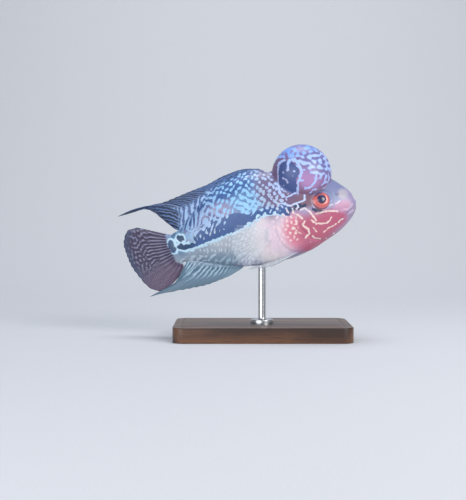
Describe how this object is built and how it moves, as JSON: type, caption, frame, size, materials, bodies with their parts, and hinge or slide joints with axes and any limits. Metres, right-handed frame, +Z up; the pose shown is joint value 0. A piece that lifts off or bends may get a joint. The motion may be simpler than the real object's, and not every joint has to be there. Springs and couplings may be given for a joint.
{
  "type": "flowerhorn cichlid",
  "caption": "Life-size still model of a flowerhorn cichlid with a round forehead hump, folded fins and a streamer, held over a plain base by a rod.",
  "frame": {"origin": "centre of the display base's underside, on the surface it stands on, straight under the rod", "axes": "+X the way the fish heads, +Y its left side, +Z up"},
  "size_m": [0.192, 0.084, 0.1546],
  "materials": {
    "face_skin": "wet red and pink skin with pearl lines",
    "hump_skin": "wet maroon skin with a lavender and pearl maze",
    "scaled_skin": "wet scales, pearl blue over slate with a black band and a pale belly",
    "fin_web": "thin wet membrane with pale streaks between raised rays",
    "clear_fin": "nearly clear membrane over fine rays",
    "eye": "clear cornea over an orange-red iris",
    "stand_wood": "satin dark walnut",
    "stand_steel": "turned satin steel"
  },
  "bodies": {
    "root": {"head": "face_skin", "nuchal_hump": "hump_skin", "trunk": "scaled_skin", "tail_stalk": "scaled_skin", "dorsal_fin": "fin_web", "anal_fin": "fin_web", "tail_fin": "fin_web", "pectoral_fin_left": "clear_fin", "pectoral_fin_right": "clear_fin", "pelvic_fin_left": "clear_fin", "pelvic_fin_right": "clear_fin", "eye_left": "eye", "eye_right": "eye", "stand_base": "stand_wood", "stand_rod": "stand_steel"}
  },
  "joints": []
}
